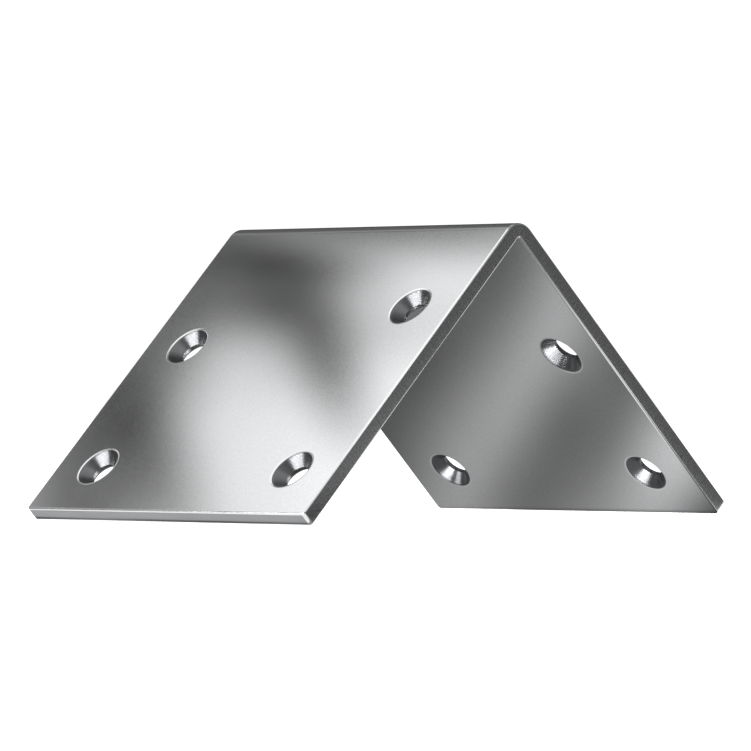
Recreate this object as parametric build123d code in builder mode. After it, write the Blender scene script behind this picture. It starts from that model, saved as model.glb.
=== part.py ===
from build123d import *
import os
from math import cos, radians, sin

# Wide angle bracket: one steel sheet, folded once over its middle into two square wings, with four
# countersunk screw holes in each. It stands on its two feet like a tent: +Z up, the fold along Y, and
# the origin in the middle of the ground that it covers. All sizes are in millimetres.

# Sheet
sheet = 3.2
width = 80.0  # along the fold
wing_length = 80.0  # down the outer face, from the sharp outer corner of the section to the foot
corner_radius = 0.8  # the four corners of the blank
edge_radius = 0.4  # worn round both rims of the blank by tumbling

# Fold: pressed over a sharp nose, so that the sheet is a little thinner there than in the wings
fold_angle = 90.0  # between the wings
outer_bend_radius = 4.4
inner_bend_radius = 0.3

# Screw holes
hole_diameter = 5.0
countersink_diameter = 9.0
countersink_angle = 90.0
rim_radius = 1.2  # rolled edge where the countersink meets the face
exit_chamfer = 0.6  # broken edge where the hole leaves the sheet
side_margin = 12.0  # from the side edges of a wing to its two columns of holes
foot_margin = 11.5  # from the foot to the lowest row
high_row = 25.0  # down the wing from the sharp outer corner
low_row = 35.5

# Each wing falls away from the fold by this angle, and the rounded edge of each foot touches the ground
slope = radians((180 - fold_angle) / 2)
ridge_height = (wing_length - edge_radius) * sin(slope) + (sheet - edge_radius) * cos(slope) + edge_radius
outer_foot = (wing_length * cos(slope), ridge_height - wing_length * sin(slope))
inner_foot = (outer_foot[0] - sheet * sin(slope), outer_foot[1] - sheet * cos(slope))
inner_ridge = ridge_height - sheet / cos(slope)

# The faces that the countersinks open on: the outside of the left wing and the inside of the right one.
# Local x runs along the fold, and local y down the wing from the level of the sharp outer corner.
left_outer_face = Plane(
    origin=(0, 0, ridge_height),
    x_dir=(0, 1, 0),
    z_dir=(-sin(slope), 0, cos(slope)),
)
right_inner_face = Plane(
    origin=(-sheet * sin(slope), 0, ridge_height - sheet * cos(slope)),
    x_dir=(0, 1, 0),
    z_dir=(-sin(slope), 0, -cos(slope)),
)

# The columns are staggered, and a half turn about Z takes the pattern of one wing to the other
column = width / 2 - side_margin
foot_row = wing_length - foot_margin
left_holes = [(-column, high_row), (-column, foot_row), (column, low_row), (column, foot_row)]
right_holes = [(-x, y) for x, y in left_holes]


def feet():
    """The flat cut faces that end the two wings."""
    across = bracket.faces().sort_by(Axis.X)
    return ShapeList([across[0], across[-1]])


def countersunk_holes(face, places):
    """Drills a wing from the given face, rolls each rim and breaks each edge on the far side."""
    with Locations(face):
        with Locations(*places):
            CounterSinkHole(
                radius=hole_diameter / 2,
                counter_sink_radius=countersink_diameter / 2,
                counter_sink_angle=countersink_angle,
            )
    circles = bracket.edges(Select.LAST).filter_by(GeomType.CIRCLE)
    by_depth = circles.group_by(Axis(face.origin, face.z_dir))
    fillet(by_depth[-1], radius=rim_radius)
    chamfer(by_depth[0], length=exit_chamfer)


with BuildPart() as bracket:
    with BuildSketch(Plane.XZ) as section:
        with BuildLine():
            Polyline((0, ridge_height), outer_foot, inner_foot, (0, inner_ridge))
            mirror(about=Plane.YZ)
        make_face()
        fold_corners = section.vertices().filter_by_position(Axis.X, 0, 0).sort_by(Axis.Y)
        fillet(fold_corners[-1], radius=outer_bend_radius)
        fillet(fold_corners[0], radius=inner_bend_radius)
    extrude(amount=width / 2, both=True)
    # Corners of the blank, then the rims, which run on round the corners and over the fold
    fillet(feet().edges().filter_by(Axis.Y, reverse=True), radius=corner_radius)
    fillet(feet().edges().filter_by(Axis.Y), radius=edge_radius)
    countersunk_holes(left_outer_face, left_holes)
    countersunk_holes(right_inner_face, right_holes)

bracket.part.label = "angle_bracket"
os.makedirs("parts", exist_ok=True)
export_step(bracket.part, "parts/angle_bracket.step")
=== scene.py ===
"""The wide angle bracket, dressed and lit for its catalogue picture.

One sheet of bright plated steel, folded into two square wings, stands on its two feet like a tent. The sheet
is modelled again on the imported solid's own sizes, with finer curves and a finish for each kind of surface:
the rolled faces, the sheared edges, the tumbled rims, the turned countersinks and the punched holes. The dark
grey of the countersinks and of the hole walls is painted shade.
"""

import logging
from dataclasses import dataclass, field
from enum import Enum, IntEnum
from math import atan2, cos, hypot, radians, sin, sqrt, tan, tau

import bmesh
import bpy
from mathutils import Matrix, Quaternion, Vector


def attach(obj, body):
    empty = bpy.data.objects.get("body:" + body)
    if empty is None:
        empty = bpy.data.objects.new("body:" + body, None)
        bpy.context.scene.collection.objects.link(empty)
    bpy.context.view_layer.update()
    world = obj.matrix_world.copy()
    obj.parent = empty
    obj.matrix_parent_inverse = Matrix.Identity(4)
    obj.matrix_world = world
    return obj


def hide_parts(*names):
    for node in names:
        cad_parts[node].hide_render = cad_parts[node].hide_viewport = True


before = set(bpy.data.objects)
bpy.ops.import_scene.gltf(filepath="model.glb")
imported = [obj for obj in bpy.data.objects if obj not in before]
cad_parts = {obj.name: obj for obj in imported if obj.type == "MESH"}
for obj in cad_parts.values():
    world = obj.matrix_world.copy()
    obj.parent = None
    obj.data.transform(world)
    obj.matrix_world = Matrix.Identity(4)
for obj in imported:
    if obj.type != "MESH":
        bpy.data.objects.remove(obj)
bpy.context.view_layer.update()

LOG = logging.getLogger("wide_angle_bracket")
MM = 0.001
NODE = "angle_bracket"
TURNED_MAP = "turned"
# Nearly all of a noise pattern lies between these two values
NOISE_RANGE = (0.3, 0.7)
# The cosine past which two directions count as one
PARALLEL = 0.99999
# A point closer to a plane than this lies in it
IN_PLANE = 0.001 * MM


def linear_colour(hex_colour: str) -> tuple[float, float, float, float]:
    """Turns an sRGB colour into the linear light that shaders work in.

    Args:
        hex_colour: The colour as written on a swatch, such as "#C8C9CA".

    Returns:
        Linear red, green and blue, with a full alpha.
    """
    channels = [int(hex_colour[i : i + 2], 16) / 255 for i in (1, 3, 5)]
    linear = [c / 12.92 if c <= 0.04045 else ((c + 0.055) / 1.055) ** 2.4 for c in channels]
    return (*linear, 1.0)


def add_node(
    tree: bpy.types.NodeTree,
    kind: str,
    settings: dict[str, object] | None = None,
    values: dict[str | int, object] | None = None,
    links: dict[str | int, bpy.types.NodeSocket] | None = None,
) -> bpy.types.Node:
    """Adds a node with its settings, its plain values and its links.

    Args:
        tree: The node tree that gets it.
        kind: Blender's name for the kind of node.
        settings: The node's own properties, such as its operation.
        values: Numbers and colours for input sockets, by name or place.
        links: Output sockets that feed input sockets, by name or place.

    Returns:
        The new node.
    """
    node = tree.nodes.new(kind)
    for name, value in (settings or {}).items():
        setattr(node, name, value)
    for socket, value in (values or {}).items():
        node.inputs[socket].default_value = value
    for socket, source in (links or {}).items():
        tree.links.new(source, node.inputs[socket])
    return node


def new_material(name: str) -> bpy.types.Material:
    """Makes a material with an empty node tree.

    Args:
        name: What the finish is.

    Returns:
        The material.
    """
    material = bpy.data.materials.new(name)
    material.use_nodes = True
    material.node_tree.nodes.clear()
    return material


def new_object(name: str, data: bpy.types.ID) -> bpy.types.Object:
    """Puts a mesh, a lamp or a camera into the scene as an object at the origin.

    Args:
        name: The object's name.
        data: What it shows.

    Returns:
        The object.
    """
    obj = bpy.data.objects.new(name, data)
    bpy.context.scene.collection.objects.link(obj)
    return obj


def round_off(
    bm: bmesh.types.BMesh,
    geom: list[bmesh.types.BMVert] | list[bmesh.types.BMEdge],
    affect: str,
    tangent: float,
    steps: int,
    finish: int = -1,
) -> list[bmesh.types.BMVert]:
    """Rounds the corners of a section or the edges of a sheet.

    Args:
        bm: The mesh.
        geom: The corners or the edges.
        affect: Which of the two they are, "VERTICES" or "EDGES".
        tangent: How far from each of them the round starts.
        steps: How many facets it has.
        finish: The slot of its finish, or -1 for that of the faces beside it.

    Returns:
        The vertices of the rounds.
    """
    rounds = bmesh.ops.bevel(
        bm, geom=geom, offset=tangent, segments=steps, profile=0.5, affect=affect, material=int(finish)
    )
    return rounds["verts"]


class Wing(Enum):
    """The two halves of the sheet, each with the sign of its side along X."""

    LEFT = -1
    RIGHT = 1


class Surface(IntEnum):
    """What each face of the sheet is, and the slot of its finish."""

    ROLLED = 0
    SHEARED = 1
    CROPPED = 2
    TUMBLED = 3
    TURNED = 4
    PUNCHED = 5


@dataclass(frozen=True)
class MetalFinish:
    """What all the finishes share: a metal whose colour, gloss and relief follow a pattern of its own.

    Attributes:
        name: What the finish is.
        colours: The swatches where its pattern is low and high.
        roughness: Its roughness in the middle of the pattern.
        spread: How far the roughness strays from that.
        relief_mm: How high the pattern stands.
        pattern_mm: How large the pattern is.
        stretch: How many times longer than wide its marks are.
    """

    name: str
    colours: tuple[str, str]
    roughness: float
    spread: float
    relief_mm: float
    pattern_mm: float
    stretch: float = 1.0

    @property
    def per_metre(self) -> float:
        """How many marks of the pattern fit in a metre."""
        return 1 / (self.pattern_mm * MM)

    def draw_marks(
        self,
        tree: bpy.types.NodeTree,
        place: bpy.types.NodeSocket,
        scale: tuple[float, float, float],
        detail: float = 2.0,
    ) -> bpy.types.NodeSocket:
        """Draws marks that are longer one way than the others.

        Args:
            tree: The material's node tree.
            place: The coordinates that they are drawn on.
            scale: How many fit in a metre along each of them.
            detail: How much finer detail they have.

        Returns:
            The marks.
        """
        scaled = add_node(tree, "ShaderNodeMapping", values={"Scale": scale}, links={"Vector": place})
        marks = add_node(
            tree,
            "ShaderNodeTexNoise",
            values={"Scale": 1.0, "Detail": detail},
            links={"Vector": scaled.outputs[0]},
        )
        return marks.outputs["Fac"]

    def draw(self, tree: bpy.types.NodeTree) -> tuple[bpy.types.NodeSocket, bpy.types.NodeSocket]:
        """Draws the patterns of the finish.

        Args:
            tree: The material's node tree.

        Returns:
            The pattern of the colour and relief, and that of the gloss.
        """
        raise NotImplementedError

    def build(self) -> bpy.types.Material:
        """Makes the material.

        Returns:
            The material, with its nodes.
        """
        material = new_material(self.name)
        tree = material.node_tree
        pattern, gloss = self.draw(tree)
        low, high = NOISE_RANGE
        blend = add_node(
            tree, "ShaderNodeMapRange", values={"From Min": low, "From Max": high}, links={"Value": pattern}
        )
        colour = add_node(
            tree,
            "ShaderNodeMix",
            settings={"data_type": "RGBA"},
            values={6: linear_colour(self.colours[0]), 7: linear_colour(self.colours[1])},
            links={0: blend.outputs["Result"]},
        )
        roughness = add_node(
            tree,
            "ShaderNodeMapRange",
            values={
                "From Min": low,
                "From Max": high,
                "To Min": self.roughness - self.spread,
                "To Max": self.roughness + self.spread,
            },
            links={"Value": gloss},
        )
        bump = add_node(
            tree,
            "ShaderNodeBump",
            values={"Strength": 1.0, "Distance": self.relief_mm * MM},
            links={"Height": pattern},
        )
        shader = add_node(
            tree,
            "ShaderNodeBsdfPrincipled",
            values={"Metallic": 1.0},
            links={
                "Base Color": colour.outputs[2],
                "Roughness": roughness.outputs["Result"],
                "Normal": bump.outputs["Normal"],
            },
        )
        add_node(tree, "ShaderNodeOutputMaterial", links={"Surface": shader.outputs["BSDF"]})
        return material


@dataclass(frozen=True)
class BrightZincPlate(MetalFinish):
    """Bright zinc plate over cold-rolled steel: a soft mirror with faint clouds and a fine grain."""

    name: str = "bright_zinc_plate"
    colours: tuple[str, str] = ("#ECEDEF", "#F6F7F7")
    roughness: float = 0.15
    spread: float = 0.02
    relief_mm: float = 0.0007
    # The grain of rolled and plated steel, about 0.05 mm, is too fine to show, so it is drawn coarser
    pattern_mm: float = 0.4
    # Clouds of the plating bath, at their real size: the reflections soften a little in places
    cloud_mm: float = 18.0
    # How much of the gloss they make up, beside the grain
    cloud_share: float = 0.5

    def draw(self, tree: bpy.types.NodeTree) -> tuple[bpy.types.NodeSocket, bpy.types.NodeSocket]:
        """Draws the steel's own grain, and over it the clouds of the bath, which only the gloss shows.

        Args:
            tree: The material's node tree.

        Returns:
            The pattern of the colour and relief, and that of the gloss.
        """
        place = add_node(tree, "ShaderNodeTexCoord").outputs["Object"]
        grain, clouds = (
            add_node(
                tree,
                "ShaderNodeTexNoise",
                values={"Scale": 1 / (size * MM), "Detail": 3.0},
                links={"Vector": place},
            )
            for size in (self.pattern_mm, self.cloud_mm)
        )
        gloss = add_node(
            tree,
            "ShaderNodeMix",
            settings={"data_type": "FLOAT"},
            values={0: self.cloud_share},
            links={2: grain.outputs["Fac"], 3: clouds.outputs["Fac"]},
        )
        return grain.outputs["Fac"], gloss.outputs[0]


@dataclass(frozen=True)
class ShearedSteel(MetalFinish):
    """A sheared steel edge under thin plate: a burnished band, then the duller torn one, with streaks across.

    Attributes:
        torn: How torn the cut is at the inner face and at the outer one.
        ridge: The height of the sharp outer corner of the section, in metres.
        sheet: The thickness of the sheet, in metres.
    """

    name: str = "sheared_steel_edge"
    colours: tuple[str, str] = ("#B0B1B3", "#F0F1F3")
    roughness: float = 0.26
    spread: float = 0.05
    relief_mm: float = 0.006
    # The streaks of a real cut are 0.1 to 0.2 mm apart, and are drawn coarser so that they show
    pattern_mm: float = 0.4
    stretch: float = 8.0
    torn: tuple[float, float] = (1.15, 0.15)
    ridge: float = 0.0
    sheet: float = 1.0 * MM

    def draw(self, tree: bpy.types.NodeTree) -> tuple[bpy.types.NodeSocket, bpy.types.NodeSocket]:
        """Draws the streaks and the torn band, on coordinates that unfold the sheet.

        Args:
            tree: The material's node tree.

        Returns:
            The pattern of the colour and relief, and that of the gloss.
        """
        place = add_node(tree, "ShaderNodeTexCoord").outputs["Object"]
        parts = add_node(tree, "ShaderNodeSeparateXYZ", links={"Vector": place})
        across = add_node(
            tree, "ShaderNodeMath", settings={"operation": "ABSOLUTE"}, links={0: parts.outputs["X"]}
        )
        # The wings slope by 45 degrees, so X less Z runs down a wing, and X plus Z runs through the sheet
        down, through = (
            add_node(
                tree,
                "ShaderNodeMath",
                settings={"operation": operation},
                links={0: across.outputs[0], 1: parts.outputs["Z"]},
            )
            for operation in ("SUBTRACT", "ADD")
        )
        unfolded = add_node(
            tree,
            "ShaderNodeCombineXYZ",
            links={"X": down.outputs[0], "Y": parts.outputs["Y"], "Z": through.outputs[0]},
        )
        fine = self.per_metre
        streaks = self.draw_marks(tree, unfolded.outputs[0], (fine, fine, fine / self.stretch), 3.0)
        pits = add_node(
            tree,
            "ShaderNodeTexNoise",
            values={"Scale": fine, "Detail": 4.0, "Roughness": 0.6},
            links={"Vector": place},
        )
        # From the outer face in, pits take over from the streaks, and from about the middle on the cut grows
        # duller, along a line that the streaks make ragged
        depth = add_node(
            tree,
            "ShaderNodeMapRange",
            values={
                "From Min": self.ridge - self.sheet * sqrt(2),
                "From Max": self.ridge,
                "To Min": self.torn[0],
                "To Max": self.torn[1],
            },
            links={"Value": through.outputs[0]},
        )
        dulled = add_node(
            tree,
            "ShaderNodeMath",
            settings={"operation": "MULTIPLY"},
            links={0: depth.outputs["Result"], 1: streaks},
        )
        grained = add_node(
            tree,
            "ShaderNodeMix",
            settings={"data_type": "FLOAT"},
            links={0: depth.outputs["Result"], 2: streaks, 3: pits.outputs["Fac"]},
        )
        return grained.outputs[0], dulled.outputs[0]


@dataclass(frozen=True)
class CroppedFoot(MetalFinish):
    """The foot, cropped across the strip and rubbed by the blade: plain grey, with long faint drag lines."""

    name: str = "cropped_foot"
    colours: tuple[str, str] = ("#929395", "#9FA0A2")
    roughness: float = 0.34
    spread: float = 0.04
    relief_mm: float = 0.003
    # Real drag lines are about 0.1 mm apart, and are drawn coarser so that they show
    pattern_mm: float = 0.3
    stretch: float = 30.0

    def draw(self, tree: bpy.types.NodeTree) -> tuple[bpy.types.NodeSocket, bpy.types.NodeSocket]:
        """Draws the drag lines along the fold.

        Args:
            tree: The material's node tree.

        Returns:
            The pattern of the colour and relief, and that of the gloss.
        """
        place = add_node(tree, "ShaderNodeTexCoord").outputs["Object"]
        lines = self.draw_marks(tree, place, (self.per_metre, self.per_metre / self.stretch, self.per_metre))
        return lines, lines


@dataclass(frozen=True)
class TumbledRim(MetalFinish):
    """Edges rounded and burnished in the tumbler: bright, with a fine random scratch."""

    name: str = "tumbled_rim"
    colours: tuple[str, str] = ("#F0F1F2", "#FAFAFA")
    roughness: float = 0.2
    spread: float = 0.03
    relief_mm: float = 0.001
    # The scratches of the tumbling stones are under 0.1 mm apart, and are drawn coarser so that they show
    pattern_mm: float = 0.25

    def draw(self, tree: bpy.types.NodeTree) -> tuple[bpy.types.NodeSocket, bpy.types.NodeSocket]:
        """Draws the scratches.

        Args:
            tree: The material's node tree.

        Returns:
            The pattern of the colour and relief, and that of the gloss.
        """
        place = add_node(tree, "ShaderNodeTexCoord").outputs["Object"]
        scratches = add_node(
            tree,
            "ShaderNodeTexNoise",
            values={"Scale": self.per_metre, "Detail": 3.0, "Distortion": 1.0},
            links={"Vector": place},
        )
        return scratches.outputs["Fac"], scratches.outputs["Fac"]


@dataclass(frozen=True)
class TurnedCone(MetalFinish):
    """A countersink turned and plated: fine rings spread each light into a wedge; its dark grey is painted
    shade.
    """

    name: str = "turned_countersink_painted_shade"
    # Dark grey: painted shade in the recess of the countersink, far darker than the plated steel of the face
    colours: tuple[str, str] = ("#696A6C", "#7A7B7D")
    roughness: float = 0.36
    spread: float = 0.04
    relief_mm: float = 0.0012
    # The feed of the turning tool at its real size: a satin sheen, with no ring that shows alone
    pattern_mm: float = 0.12
    stretch: float = 60.0
    # The rings spread the gloss across them, a quarter turn from the way round the hole
    anisotropy: float = 0.85
    gloss_turn: float = 0.25

    def draw(self, tree: bpy.types.NodeTree) -> tuple[bpy.types.NodeSocket, bpy.types.NodeSocket]:
        """Draws the rings, on the map that runs round each hole and out from its axis.

        Args:
            tree: The material's node tree.

        Returns:
            The pattern of the colour and relief, and that of the gloss.
        """
        place = add_node(tree, "ShaderNodeUVMap", settings={"uv_map": TURNED_MAP}).outputs["UV"]
        rings = self.draw_marks(tree, place, (self.per_metre / self.stretch, self.per_metre, 1.0))
        return rings, rings

    def build(self) -> bpy.types.Material:
        """Makes the material, and spreads its gloss across the rings.

        Returns:
            The material, with its nodes.
        """
        material = super().build()
        tree = material.node_tree
        shader = tree.nodes["Principled BSDF"]
        shader.inputs["Anisotropic"].default_value = self.anisotropy
        shader.inputs["Anisotropic Rotation"].default_value = self.gloss_turn
        round_axis = add_node(
            tree, "ShaderNodeTangent", settings={"direction_type": "UV_MAP", "uv_map": TURNED_MAP}
        )
        tree.links.new(round_axis.outputs["Tangent"], shader.inputs["Tangent"])
        return material


@dataclass(frozen=True)
class PunchedWall(MetalFinish):
    """The wall of a punched hole: dull steel with a fine grain, its dark grey partly painted shade inside the
    hole.
    """

    name: str = "punched_wall_painted_shade"
    # Dark grey: the dull torn steel's own, deepened with painted shade inside the hole
    colours: tuple[str, str] = ("#58595B", "#6E6F71")
    roughness: float = 0.42
    spread: float = 0.06
    relief_mm: float = 0.004
    # The grain of torn steel, at about its real size
    pattern_mm: float = 0.2

    def draw(self, tree: bpy.types.NodeTree) -> tuple[bpy.types.NodeSocket, bpy.types.NodeSocket]:
        """Draws the grain on the map that runs round each hole.

        Args:
            tree: The material's node tree.

        Returns:
            The pattern of the colour and relief, and that of the gloss.
        """
        place = add_node(tree, "ShaderNodeUVMap", settings={"uv_map": TURNED_MAP}).outputs["UV"]
        grain = add_node(
            tree,
            "ShaderNodeTexNoise",
            values={"Scale": self.per_metre, "Detail": 2.0},
            links={"Vector": place},
        )
        return grain.outputs["Fac"], grain.outputs["Fac"]


@dataclass(frozen=True)
class ScrewHole:
    """One countersunk hole, by its wing and its place on the sheet.

    Attributes:
        wing: The wing that it is drilled in.
        along: Its distance along the fold from the middle, in metres.
        down: Its distance down the outer face from the sharp outer corner of the section, in metres.
    """

    wing: Wing
    along: float
    down: float


@dataclass
class FoldedSheet:
    """The whole bracket: one blank, drilled, folded once into two square wings, and tumbled.

    Lengths are in metres, and down a wing they start at the sharp outer corner of the section.

    Attributes:
        sheet: Its thickness.
        width: The length of the fold.
        wing_length: Down to the foot.
        corner_radius: The four corners of the blank.
        edge_radius: Both rims of the blank.
        outer_bend_radius: The outside of the fold.
        inner_bend_radius: The inside of the fold.
        hole_radius: The punched walls.
        countersink_radius: The cones, as they would meet the face without a rolled rim.
        cone_slope: How far the cones slope from the face.
        rim_radius: The rolled rims of the cones.
        exit_chamfer: The broken edges where the holes leave the sheet.
        column: From the middle of the fold to each column of holes.
        high_row: Down to the upper hole of one column.
        low_row: Down to the upper hole of the other.
        foot_row: Down to the lower holes.
        slope: How far the wings slope from the level.
        outer_bend_steps: The facets of the fold, outside.
        inner_bend_steps: The facets of the fold, inside.
        corner_steps: The facets of a corner of the blank.
        rim_steps: The facets across a rim.
        round_steps: The facets round a hole.
        smooth_angle: Facets that meet at less than this are shaded as one.
        plain_share: The least area of a plain face, as a share of the square of the width.
        burnished: Between which normals along Y a corner of the blank is finished like its rims.
        ridge: The height of the sharp outer corner.
        holes: All the screw holes.
    """

    sheet: float = 3.2 * MM
    width: float = 80.0 * MM
    wing_length: float = 80.0 * MM
    corner_radius: float = 0.8 * MM
    edge_radius: float = 0.4 * MM
    outer_bend_radius: float = 4.4 * MM
    inner_bend_radius: float = 0.3 * MM
    hole_radius: float = 2.5 * MM
    countersink_radius: float = 4.5 * MM
    cone_slope: float = radians(45)
    rim_radius: float = 1.2 * MM
    exit_chamfer: float = 0.6 * MM
    column: float = 28.0 * MM
    high_row: float = 25.0 * MM
    low_row: float = 35.5 * MM
    foot_row: float = 68.5 * MM
    slope: float = radians(45)
    outer_bend_steps: int = 24
    inner_bend_steps: int = 8
    corner_steps: int = 8
    rim_steps: int = 6
    round_steps: int = 96
    smooth_angle: float = radians(25)
    plain_share: float = 0.001
    burnished: tuple[float, float] = (0.25, 0.9)
    ridge: float = field(init=False)
    holes: list[ScrewHole] = field(init=False)

    def __post_init__(self) -> None:
        """Works out the ridge and the holes.

        The columns are staggered, and a half turn about Z takes the pattern of one wing to the other.
        """
        self.ridge = (
            (self.wing_length - self.edge_radius) * sin(self.slope)
            + (self.sheet - self.edge_radius) * cos(self.slope)
            + self.edge_radius
        )
        left = (
            (-self.column, self.high_row),
            (-self.column, self.foot_row),
            (self.column, self.low_row),
            (self.column, self.foot_row),
        )
        self.holes = [ScrewHole(Wing.LEFT, along, down) for along, down in left]
        self.holes += [ScrewHole(Wing.RIGHT, -along, down) for along, down in left]

    def outward(self, wing: Wing) -> Vector:
        """The direction in which a wing's outer face looks."""
        return Vector((wing.value * sin(self.slope), 0, cos(self.slope)))

    def downhill(self, wing: Wing) -> Vector:
        """The direction from the fold to a wing's foot."""
        return Vector((wing.value * cos(self.slope), 0, -sin(self.slope)))

    def on_wing(self, wing: Wing, along: float, down: float, depth: float) -> Vector:
        """Finds a point of a wing.

        Args:
            wing: The wing.
            along: The distance along the fold from the middle.
            down: The distance down the outer face from the sharp outer corner.
            depth: The distance into the sheet from the outer face.

        Returns:
            The point in the row frame.
        """
        return Vector((0, along, self.ridge)) + self.downhill(wing) * down - self.outward(wing) * depth

    def fold_blank(self, bm: bmesh.types.BMesh) -> None:
        """Draws the folded section at the near end, and pulls it out along the fold.

        Args:
            bm: The mesh, empty so far.
        """
        near = -self.width / 2
        corners = [
            self.on_wing(Wing.LEFT, near, 0, 0),
            self.on_wing(Wing.RIGHT, near, self.wing_length, 0),
            self.on_wing(Wing.RIGHT, near, self.wing_length, self.sheet),
            Vector((0, near, self.ridge - self.sheet / cos(self.slope))),
            self.on_wing(Wing.LEFT, near, self.wing_length, self.sheet),
            self.on_wing(Wing.LEFT, near, self.wing_length, 0),
        ]
        verts = [bmesh.ops.create_vert(bm, co=corner)["vert"][0] for corner in corners]
        outline = [bm.edges.new(pair) for pair in zip(verts, verts[1:] + verts[:1])]
        bmesh.ops.edgeloop_fill(bm, edges=outline)
        outer_corner, inner_corner = verts[0], verts[3]
        round_off(bm, [outer_corner], "VERTICES", self.outer_bend_radius, self.outer_bend_steps)
        round_off(bm, [inner_corner], "VERTICES", self.inner_bend_radius, self.inner_bend_steps)
        drawn = bmesh.ops.extrude_face_region(bm, geom=bm.faces[:], use_keep_orig=True)["geom"]
        far_end = [item for item in drawn if isinstance(item, bmesh.types.BMVert)]
        bmesh.ops.translate(bm, verts=far_end, vec=(0, self.width, 0))
        bmesh.ops.recalc_face_normals(bm, faces=bm.faces[:])
        for face in bm.faces:
            # Both feet look down, as the inner faces do, but lie within two sheets of the ground
            is_foot = face.normal.z < 0 and max(vert.co.z for vert in face.verts) < 2 * self.sheet
            if abs(face.normal.y) > PARALLEL:
                face.material_index = Surface.SHEARED
            else:
                face.material_index = Surface.CROPPED if is_foot else Surface.ROLLED

    def tumble_edges(self, bm: bmesh.types.BMesh) -> None:
        """Rounds the four corners of the blank, then both rims, which run on round the corners and the fold.

        Args:
            bm: The folded blank.
        """
        cut = {Surface.SHEARED, Surface.CROPPED}
        blank_corners = [edge for edge in bm.edges if all(f.material_index in cut for f in edge.link_faces)]
        round_off(bm, blank_corners, "EDGES", self.corner_radius, self.corner_steps)
        rims = [
            edge
            for edge in bm.edges
            if len({f.material_index for f in edge.link_faces} & cut) == 1
            and any(f.material_index == Surface.ROLLED for f in edge.link_faces)
        ]
        round_off(bm, rims, "EDGES", self.edge_radius, self.rim_steps, Surface.TUMBLED)

    def turn_hole(self, bm: bmesh.types.BMesh, hole: ScrewHole) -> None:
        """Turns the wall of one hole: the rolled rim, the cone, the punched wall and its broken edge.

        Args:
            bm: The folded blank.
            hole: Where it goes.
        """
        opening, depth = (1, 0.0) if hole.wing is Wing.LEFT else (-1, self.sheet)
        axis = self.outward(hole.wing) * opening
        centre = self.on_wing(hole.wing, hole.along, hole.down, depth)
        cone_depth = (self.countersink_radius - self.hole_radius) * tan(self.cone_slope)
        tangent = self.rim_radius * tan(self.cone_slope / 2)
        # Down to the middle of the rolled rim, which is burnished like the rims of the sheet
        lip_depth = self.rim_radius * (1 - cos(self.cone_slope / 2))
        # The first point only shows the rounding which way the face lies, and is taken out again
        profile = [
            (self.countersink_radius + 2 * tangent, 0.0),
            (self.countersink_radius, 0.0),
            (self.hole_radius, cone_depth),
            (self.hole_radius, self.sheet - self.exit_chamfer),
            (self.hole_radius + self.exit_chamfer, self.sheet),
        ]
        verts = [
            bmesh.ops.create_vert(bm, co=centre + Vector((0, radius, 0)) - axis * drop)["vert"][0]
            for radius, drop in profile
        ]
        for pair in zip(verts, verts[1:]):
            bm.edges.new(pair)
        rim = round_off(bm, [verts[1]], "VERTICES", tangent, self.rim_steps)
        bm.verts.remove(verts[0])
        chain = rim + verts[2:]
        chain_edges = list(dict.fromkeys(edge for vert in chain for edge in vert.link_edges))
        before = set(bm.faces)
        bmesh.ops.spin(
            bm,
            geom=chain + chain_edges,
            cent=centre,
            axis=axis,
            angle=tau,
            steps=self.round_steps,
            use_merge=True,
        )
        turned_map = bm.loops.layers.uv[TURNED_MAP]
        side = axis.cross(Vector((0, 1, 0)))
        for face in set(bm.faces) - before:
            middle = face.calc_center_median() - centre
            drop = -middle.dot(axis)
            # Below the middle of the rolled rim, the cone and the wall take their dark finishes, which carry
            # painted shade
            if drop < lip_depth:
                face.material_index = Surface.TUMBLED
            else:
                face.material_index = Surface.TURNED if drop < cone_depth else Surface.PUNCHED
            # All corners of a facet count their turn near that of its middle, also where the count starts
            start = atan2(middle.dot(side), middle.y)
            for loop in face.loops:
                arm = loop.vert.co - centre
                turn = atan2(arm.dot(side), arm.y)
                turn += tau * round((start - turn) / tau)
                loop[turned_map].uv = (turn * self.hole_radius, hypot(arm.dot(side), arm.y))

    def open_faces(self, bm: bmesh.types.BMesh) -> None:
        """Fills each flat of the sheet again, from its outline to the ends of its four holes.

        Args:
            bm: The sheet, with its flats still whole over the holes.
        """
        rolled = [face for face in bm.faces if face.material_index == Surface.ROLLED]
        rolled.sort(key=lambda face: face.calc_area())
        # Each wing has two flats, and they are larger than any strip of the fold
        for flat in rolled[-2 * len(Wing) :]:
            point, normal = flat.verts[0].co.copy(), flat.normal.copy()
            outline = list(flat.edges)
            ends = [
                edge
                for edge in bm.edges
                if edge.is_boundary and all(abs((v.co - point).dot(normal)) < IN_PLANE for v in edge.verts)
            ]
            bmesh.ops.delete(bm, geom=[flat], context="FACES_ONLY")
            bmesh.ops.triangle_fill(
                bm, edges=outline + ends, use_beauty=True, use_dissolve=False, normal=normal
            )

    def true_normals(self, bm: bmesh.types.BMesh) -> list[Vector]:
        """Gives each corner the normal of the flattest surface that meets there.

        A rounding is tangent to the flat beside it, so its highlight ends where the rounding does.

        Args:
            bm: The finished sheet.

        Returns:
            One normal for each corner, in the order of the faces.
        """
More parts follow.
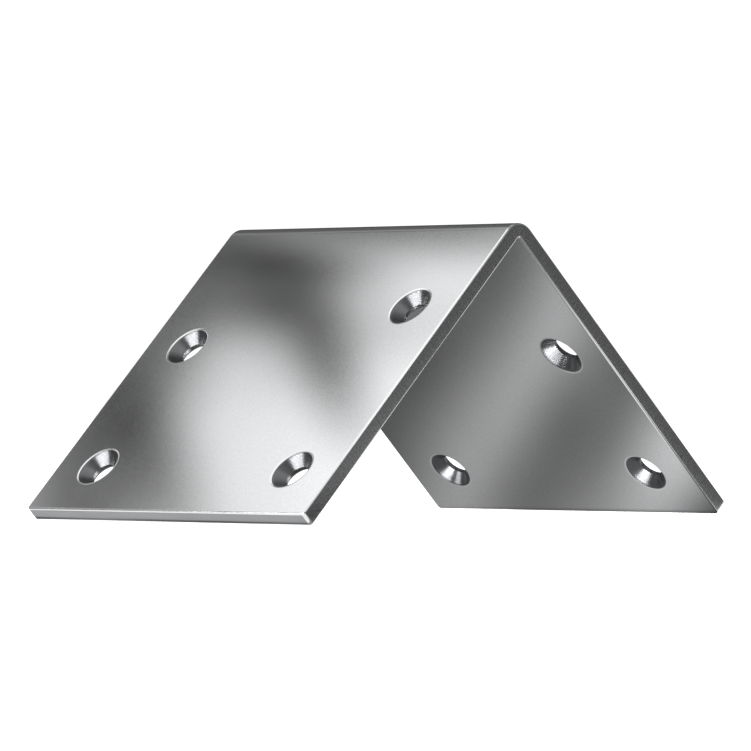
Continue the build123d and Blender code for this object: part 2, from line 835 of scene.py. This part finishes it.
        # Flattest first: plain faces and the fold's outer strips, then the rest of the curves, then the rims
        plain, curved, rim = range(3)
        plain_size = self.plain_share * self.width**2
        ranks = {}
        for face in bm.faces:
            on_flat = any(abs(face.normal.dot(self.outward(wing))) > PARALLEL for wing in Wing)
            if face.material_index == Surface.TUMBLED:
                ranks[face] = rim
            elif on_flat or abs(face.normal.y) > PARALLEL or face.calc_area() > plain_size:
                ranks[face] = plain
            else:
                ranks[face] = curved
        least_cosine = cos(self.smooth_angle)
        normals = []
        for face in bm.faces:
            for loop in face.loops:
                near = [f for f in loop.vert.link_faces if f.normal.dot(face.normal) > least_cosine]
                best = min(ranks[f] for f in near)
                total = sum((f.normal for f in near if ranks[f] == best), Vector())
                normals.append(total.normalized())
        return normals

    def burnish_corners(self, bm: bmesh.types.BMesh) -> None:
        """Gives the middle of the blank's rounded corners the finish of the rims.

        Args:
            bm: The finished sheet.
        """
        least, most = self.burnished
        for face in bm.faces:
            is_cut = face.material_index in (Surface.SHEARED, Surface.CROPPED)
            if is_cut and least < abs(face.normal.y) < most:
                face.material_index = Surface.TUMBLED

    def build(self, materials: dict[Surface, bpy.types.Material]) -> bpy.types.Object:
        """Makes the piece and dresses it.

        Args:
            materials: The finish of each kind of surface.

        Returns:
            The piece.
        """
        bm = bmesh.new()
        bm.loops.layers.uv.new(TURNED_MAP)
        self.fold_blank(bm)
        self.tumble_edges(bm)
        for hole in self.holes:
            self.turn_hole(bm, hole)
        self.open_faces(bm)
        bmesh.ops.recalc_face_normals(bm, faces=bm.faces[:])
        normals = self.true_normals(bm)
        self.burnish_corners(bm)
        mesh = bpy.data.meshes.new("folded_sheet")
        bm.to_mesh(mesh)
        bm.free()
        mesh.shade_smooth()
        mesh.normals_split_custom_set(normals)
        for surface in Surface:
            mesh.materials.append(materials[surface])
        piece = new_object("folded_sheet", mesh)
        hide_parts(NODE)
        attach(piece, "root")
        return piece


@dataclass(frozen=True)
class SoftShade:
    """A soft dark patch on the cloth or the table, which shapes the light that the metal mirrors.

    Attributes:
        middle: Its middle, in mm from the middle of the set.
        reach: How far it reaches along its two axes, in mm.
        turn: How far its long axis is turned from X, in degrees.
        depth: How dark its middle is, from 0, white, to 1, black.
        core: How much of its reach is evenly dark.
    """

    middle: tuple[float, float]
    reach: tuple[float, float]
    turn: float
    depth: float
    core: float = 0.0

    def dim(
        self, tree: bpy.types.NodeTree, light: bpy.types.NodeSocket, place: bpy.types.NodeSocket
    ) -> bpy.types.NodeSocket:
        """Dims a light with the patch.

        Args:
            tree: The node tree of the cloth or the table.
            light: Its light so far.
            place: The place on it, with no height.

        Returns:
            The dimmed light.
        """
        local = add_node(
            tree,
            "ShaderNodeMapping",
            settings={"vector_type": "TEXTURE"},
            values={
                "Location": (self.middle[0] * MM, self.middle[1] * MM, 0),
                "Rotation": (0, 0, radians(self.turn)),
                "Scale": (self.reach[0] * MM, self.reach[1] * MM, 1),
            },
            links={"Vector": place},
        )
        distance = add_node(
            tree, "ShaderNodeVectorMath", settings={"operation": "LENGTH"}, links={0: local.outputs["Vector"]}
        )
        tone = add_node(
            tree,
            "ShaderNodeMapRange",
            settings={"interpolation_type": "SMOOTHSTEP"},
            values={"From Min": self.core, "To Min": 1 - self.depth, "To Max": 1.0},
            links={"Value": distance.outputs["Value"]},
        )
        product = add_node(
            tree,
            "ShaderNodeMath",
            settings={"operation": "MULTIPLY"},
            links={0: light, 1: tone.outputs["Result"]},
        )
        return product.outputs["Value"]


# On the ceiling cloth, for the soft tones of the outer faces, and last for those seen from behind
CEILING_SHADES = (
    SoftShade((1.1, 53.5), (104.9, 14.5), 88.3, 0.848),
    SoftShade((-28.9, 70.1), (28.5, 17.4), 29.8, 0.825),
    SoftShade((-63.0, 151.2), (152.0, 61.9), -3.6, 0.898),
    SoftShade((-46.2, 129.3), (43.9, 19.9), 42.0, 0.727),
    SoftShade((-7.9, 86.0), (55.1, 9.0), 86.0, 0.985),
    SoftShade((-21.1, 120.1), (68.2, 24.1), -40.5, 0.872),
    SoftShade((-23.9, 55.9), (77.2, 11.8), -78.4, 0.362),
    SoftShade((-56.2, 89.5), (113.2, 25.5), 1.0, 0.159),
    SoftShade((-16.7, 87.5), (47.3, 15.1), 89.9, 0.939),
    SoftShade((-125, -110), (70, 140), 0, 0.65, 0.3),
)
# On the table between the feet, for the soft tones of the inner faces
TABLE_SHADES = (
    SoftShade((-3.0, 16.7), (63.7, 33.9), -8.6, 0.685),
    SoftShade((23.4, -16.3), (96.6, 24.3), 20.8, 0.684),
    SoftShade((53.4, 14.6), (49.9, 38.6), 34.0, 0.815),
    SoftShade((22.3, 46.0), (61.4, 33.1), 48.9, 0.821),
    SoftShade((64.9, 65.9), (93.0, 56.5), 6.6, 0.985),
    SoftShade((50.1, -53.3), (109.1, 28.3), 58.6, 0.985),
    SoftShade((35.6, 2.0), (24.7, 18.5), 29.2, 0.478),
)
# Over and behind the fold, for its dark upper line
FOLD_SHADE = SoftShade((72, 60), (87, 260), 0, 0.9, 0.55)
# Before the cut ends of the wings, and last beside the far half of the left foot, for its softer rim, and
# under the right one, for its dark lower line
OUTER_SHADES = (
    SoftShade((-40, -100), (80, 70), 0, 0.9, 0.4),
    SoftShade((62, -162), (140, 34), -47, 0.75, 0.5),
    SoftShade((162, -162), (140, 42), -47, 0.95, 0.5),
    SoftShade((84, -70), (48, 20), -47, 0.85, 0.3),
    SoftShade((-75, 80), (18.4, 140), 0, 0.75, 0.85),
    SoftShade((54.2, -15), (0.9, 90), 0, 0.5, 0.0),
)


def shaded_light(
    tree: bpy.types.NodeTree, shades: tuple[SoftShade, ...], brightness: float = 1.0
) -> bpy.types.NodeSocket:
    """Draws a sheet's light. Each patch comes again a half turn on, so that both sides are lit alike.

    Args:
        tree: The sheet's node tree.
        shades: Its patches.
        brightness: Its light where no patch reaches.

    Returns:
        The light.
    """
    place = add_node(tree, "ShaderNodeTexCoord").outputs["Object"]
    start = add_node(tree, "ShaderNodeValue")
    start.outputs[0].default_value = brightness
    light = start.outputs[0]
    for half in (1, -1):
        level = add_node(
            tree,
            "ShaderNodeVectorMath",
            settings={"operation": "MULTIPLY"},
            values={1: (half, half, 0)},
            links={0: place},
        )
        for shade in shades:
            light = shade.dim(tree, light, level.outputs["Vector"])
    return light


def flat_sheet(name: str, half_sides: tuple[float, float], height: float) -> bpy.types.Object:
    """Lays out a flat sheet of the set at a height.

    Args:
        name: Its name.
        half_sides: Half of its sides along X and Y, in metres.
        height: Its height over the table, in metres.

    Returns:
        The sheet, which isn't part of the object.
    """
    bm = bmesh.new()
    bmesh.ops.create_grid(bm, x_segments=1, y_segments=1, size=1.0)
    bmesh.ops.scale(bm, vec=(*half_sides, 1.0), verts=bm.verts[:])
    bmesh.ops.translate(bm, verts=bm.verts[:], vec=(0, 0, height))
    mesh = bpy.data.meshes.new(name)
    bm.to_mesh(mesh)
    bm.free()
    obj = new_object(name, mesh)
    return obj


@dataclass
class CeilingCloth:
    """A white cloth stretched close over the bracket, which only the metal sees.

    Attributes:
        half_sides: Half of its sides along X and Y, in metres.
        height: Its height over the table, in metres.
        brightness: Its light where no shade reaches.
    """

    half_sides: tuple[float, float] = (110.0 * MM, 230.0 * MM)
    height: float = 110.0 * MM
    brightness: float = 1.1

    def build(self) -> bpy.types.Object:
        """Makes the cloth.

        Returns:
            The cloth, which isn't part of the object.
        """
        material = new_material("ceiling_cloth")
        tree = material.node_tree
        place = add_node(tree, "ShaderNodeTexCoord").outputs["Object"]
        level = add_node(
            tree,
            "ShaderNodeVectorMath",
            settings={"operation": "MULTIPLY"},
            values={1: (1, 1, 0)},
            links={0: place},
        )
        light = shaded_light(tree, CEILING_SHADES, self.brightness)
        light = FOLD_SHADE.dim(tree, light, level.outputs["Vector"])
        glow = add_node(tree, "ShaderNodeEmission", links={"Strength": light})
        add_node(tree, "ShaderNodeOutputMaterial", links={"Surface": glow.outputs[0]})
        material.cycles.emission_sampling = "NONE"
        cloth = flat_sheet("ceiling_cloth", self.half_sides, self.height)
        cloth.data.materials.append(material)
        cloth.visible_camera = False
        cloth.visible_diffuse = False
        cloth.visible_shadow = False
        return cloth


@dataclass
class StudioFloor:
    """The white table: it clips to white where it is lit, and keeps the bracket's shadow.

    The metal mirrors it with its soft shades between the feet, and dark away from the bracket.

    Attributes:
        half_side: Half of its side, in metres.
        colour: The swatch of its laminate.
        glow: What it adds to the eye, so that it clips to white where it is lit.
        foot_line: Where its middle shades end and where it is white again, sideways from the fold, in metres.
        bright_middle: The middle of its bright part for the metal, in metres.
        bright_reach: How far from there it is bright, in metres.
        dim_reach: How far from there it has grown dim, in metres.
        dim: Its light there.
    """

    half_side: float = 4.0
    colour: str = "#F4F4F4"
    glow: float = 0.5
    foot_line: tuple[float, float] = (54.8 * MM, 54.95 * MM)
    bright_middle: tuple[float, float] = (40.0 * MM, -30.0 * MM)
    bright_reach: float = 170.0 * MM
    dim_reach: float = 300.0 * MM
    dim: float = 0.12

    def build(self) -> bpy.types.Object:
        """Makes the table.

        Returns:
            The table, which isn't part of the object.
        """
        material = new_material("white_laminate")
        tree = material.node_tree
        rays = add_node(tree, "ShaderNodeLightPath")
        strength = add_node(
            tree,
            "ShaderNodeMath",
            settings={"operation": "MULTIPLY"},
            values={1: self.glow},
            links={0: rays.outputs["Is Camera Ray"]},
        )
        glow = add_node(tree, "ShaderNodeEmission", links={"Strength": strength.outputs[0]})
        surface = add_node(tree, "ShaderNodeBsdfDiffuse", values={"Color": linear_colour(self.colour)})
        lit = add_node(tree, "ShaderNodeAddShader", links={0: glow.outputs[0], 1: surface.outputs[0]})
        place = add_node(tree, "ShaderNodeTexCoord").outputs["Object"]
        # The shades lie between the feet, and the table is white right outside them
        sideways = add_node(tree, "ShaderNodeSeparateXYZ", links={"Vector": place})
        side = add_node(
            tree, "ShaderNodeMath", settings={"operation": "ABSOLUTE"}, links={0: sideways.outputs["X"]}
        )
        outside = add_node(
            tree,
            "ShaderNodeMapRange",
            values={"From Min": self.foot_line[0], "From Max": self.foot_line[1]},
            links={"Value": side.outputs["Value"]},
        )
        between = add_node(
            tree,
            "ShaderNodeMix",
            settings={"data_type": "FLOAT"},
            values={3: 1.0},
            links={0: outside.outputs["Result"], 2: shaded_light(tree, TABLE_SHADES)},
        )
        distance = add_node(
            tree,
            "ShaderNodeVectorMath",
            settings={"operation": "DISTANCE"},
            values={1: (*self.bright_middle, 0)},
            links={0: place},
        )
        away = add_node(
            tree,
            "ShaderNodeMapRange",
            settings={"interpolation_type": "SMOOTHSTEP"},
            values={
                "From Min": self.bright_reach,
                "From Max": self.dim_reach,
                "To Min": 1.0,
                "To Max": self.dim,
            },
            links={"Value": distance.outputs["Value"]},
        )
        faded = add_node(
            tree,
            "ShaderNodeMath",
            settings={"operation": "MULTIPLY"},
            links={0: between.outputs[0], 1: away.outputs["Result"]},
        )
        light = faded.outputs["Value"]
        for shade in OUTER_SHADES:
            light = shade.dim(tree, light, place)
        mirrored = add_node(tree, "ShaderNodeEmission", links={"Strength": light})
        both = add_node(
            tree,
            "ShaderNodeMixShader",
            links={0: rays.outputs["Is Glossy Ray"], 1: lit.outputs[0], 2: mirrored.outputs[0]},
        )
        add_node(tree, "ShaderNodeOutputMaterial", links={"Surface": both.outputs[0]})
        material.cycles.emission_sampling = "NONE"
        floor = flat_sheet("studio_floor", (self.half_side, self.half_side), 0.0)
        floor.data.materials.append(material)
        return floor


def set_up(
    name: str,
    data: bpy.types.Light | bpy.types.Camera,
    place: tuple[float, float, float],
    aim: tuple[float, float, float],
    roll: float = 0.0,
) -> bpy.types.Object:
    """Sets up a lamp or the camera, turned to its aim.

    Args:
        name: Its name.
        data: The lamp or the camera.
        place: Where it stands, in metres.
        aim: What it is turned to, in metres.
        roll: How far it is rolled about its own axis.

    Returns:
        Its object.
    """
    obj = new_object(name, data)
    obj.location = place
    obj.rotation_mode = "QUATERNION"
    upright = (Vector(aim) - Vector(place)).to_track_quat("-Z", "Y")
    obj.rotation_quaternion = upright @ Quaternion((0, 0, 1), roll)
    return obj


@dataclass(frozen=True)
class Softbox:
    """One soft lamp.

    Attributes:
        name: What a photographer calls it.
        place: Where it stands, in metres.
        sides: The width and height of its face, in metres.
        power: Its power in watts.
        glint: Whether it is a glint light, which only the metal shows.
        aim: What it is turned to, in metres.
    """

    name: str
    place: tuple[float, float, float]
    sides: tuple[float, float]
    power: float
    glint: bool = False
    aim: tuple[float, float, float] = (0.0, 0.0, 0.03)

    def build(self) -> bpy.types.Object:
        """Makes the lamp.

        Returns:
            The lamp's object.
        """
        light = bpy.data.lights.new(self.name, "AREA")
        light.shape, light.energy = "RECTANGLE", self.power
        light.size, light.size_y = self.sides
        lamp = set_up(self.name, light, self.place, self.aim)
        lamp.visible_camera = False
        lamp.visible_glossy = self.glint
        lamp.visible_diffuse = not self.glint
        return lamp


@dataclass(frozen=True)
class Camera:
    """A long lens almost level with the table, fitted to thirteen straight edges of the photograph.

    Attributes:
        place: Where it stands, in metres.
        aim: What it is turned to, in metres.
        roll: How far it is rolled about its own axis.
        lens: Its focal length in mm.
        sensor: The width of its sensor in mm.
        clip: The nearest and the farthest that it sees, in metres.
    """

    place: tuple[float, float, float] = (-914.66 * MM, -980.67 * MM, 32.331 * MM)
    aim: tuple[float, float, float] = (-0.664 * MM, 0.0, 27.602 * MM)
    roll: float = radians(-0.291)
    lens: float = 327.6
    sensor: float = 36.0
    clip: tuple[float, float] = (0.01, 100.0)

    def build(self) -> bpy.types.Object:
        """Makes the camera and looks through it.

        Returns:
            The camera's object.
        """
        data = bpy.data.cameras.new("catalogue_camera")
        data.sensor_width, data.lens = self.sensor, self.lens
        data.clip_start, data.clip_end = self.clip
        camera = set_up("catalogue_camera", data, self.place, self.aim, self.roll)
        bpy.context.scene.camera = camera
        return camera


@dataclass
class Studio:
    """Everything round the bracket: the table, the cloth, the white surround and the lamps.

    Attributes:
        ambient: The surround's light on all but the metal.
        backdrop: Its brightness to the eye, just past white.
        horizon: Its light in the metal, up to the height that dark_below gives.
        dark_below: That height, as the sine of its angle over the level.
        bright_above: The height from which the metal sees it white, given the same way.
        lamps: The lamps.
    """

    ambient: float = 0.55
    backdrop: float = 1.1
    horizon: float = 0.11
    dark_below: float = 0.35
    bright_above: float = 0.9
    lamps: tuple[Softbox, ...] = (
        Softbox("key_light", (-0.9, -0.7, 1.3), (0.7, 0.7), 14.0),
        Softbox("fill_light", (1.0, -0.9, 0.9), (0.8, 0.8), 7.0),
        Softbox("back_light", (0.3, 1.2, 1.2), (0.8, 0.8), 7.0),
        Softbox("left_glint", (-0.876, 0.139, 0.18), (1.02, 0.2), 13.0, True),
        Softbox("low_glint", (0.007, -0.039, 0.005), (0.07, 0.009), 0.068, True, (0.007, 1.0, 0.005)),
        Softbox("far_glint", (0.02, 0.0161, 0.005), (0.044, 0.009), 0.04, True, (0.02, 1.0, 0.005)),
    )

    def build_world(self) -> bpy.types.World:
        """Makes the surround: white to the eye, a plain ambient light, and dark in the metal but for its top.

        Returns:
            The surround.
        """
        world = bpy.data.worlds.new("white_surround")
        bpy.context.scene.world = world
        world.use_nodes = True
        tree = world.node_tree
        tree.nodes.clear()
        rays = add_node(tree, "ShaderNodeLightPath")
        direction = add_node(tree, "ShaderNodeTexCoord").outputs["Generated"]
        height = add_node(tree, "ShaderNodeSeparateXYZ", links={"Vector": direction})
        mirrored = add_node(
            tree,
            "ShaderNodeMapRange",
            settings={"interpolation_type": "SMOOTHSTEP"},
            values={
                "From Min": self.dark_below,
                "From Max": self.bright_above,
                "To Min": self.horizon,
                "To Max": 1.0,
            },
            links={"Value": height.outputs["Z"]},
        )
        plain = add_node(
            tree,
            "ShaderNodeMapRange",
            values={"To Min": self.ambient, "To Max": self.backdrop},
            links={"Value": rays.outputs["Is Camera Ray"]},
        )
        strength = add_node(
            tree,
            "ShaderNodeMix",
            settings={"data_type": "FLOAT"},
            links={0: rays.outputs["Is Glossy Ray"], 2: plain.outputs[0], 3: mirrored.outputs[0]},
        )
        light = add_node(
            tree,
            "ShaderNodeBackground",
            values={"Color": linear_colour("#FFFFFF")},
            links={"Strength": strength.outputs[0]},
        )
        add_node(tree, "ShaderNodeOutputWorld", links={"Surface": light.outputs[0]})
        world.cycles.sampling_method = "NONE"
        return world

    def build(self) -> None:
        """Makes the studio."""
        self.build_world()
        StudioFloor().build()
        CeilingCloth().build()
        for lamp in self.lamps:
            lamp.build()
            LOG.info("lamp %s: %.3g W", lamp.name, lamp.power)
        bpy.context.scene.view_settings.view_transform = "Standard"


def main() -> None:
    """Builds the bracket and its studio."""
    logging.basicConfig(level=logging.INFO, format="%(message)s")
    sheet = FoldedSheet()
    finishes = {
        Surface.ROLLED: BrightZincPlate().build(),
        Surface.SHEARED: ShearedSteel(ridge=sheet.ridge, sheet=sheet.sheet).build(),
        Surface.CROPPED: CroppedFoot().build(),
        Surface.TUMBLED: TumbledRim().build(),
        Surface.TURNED: TurnedCone().build(),
        Surface.PUNCHED: PunchedWall().build(),
    }
    piece = sheet.build(finishes)
    LOG.info("%s: %d faces", piece.name, len(piece.data.polygons))
    Studio().build()
    Camera().build()


if __name__ == "__main__":
    main()
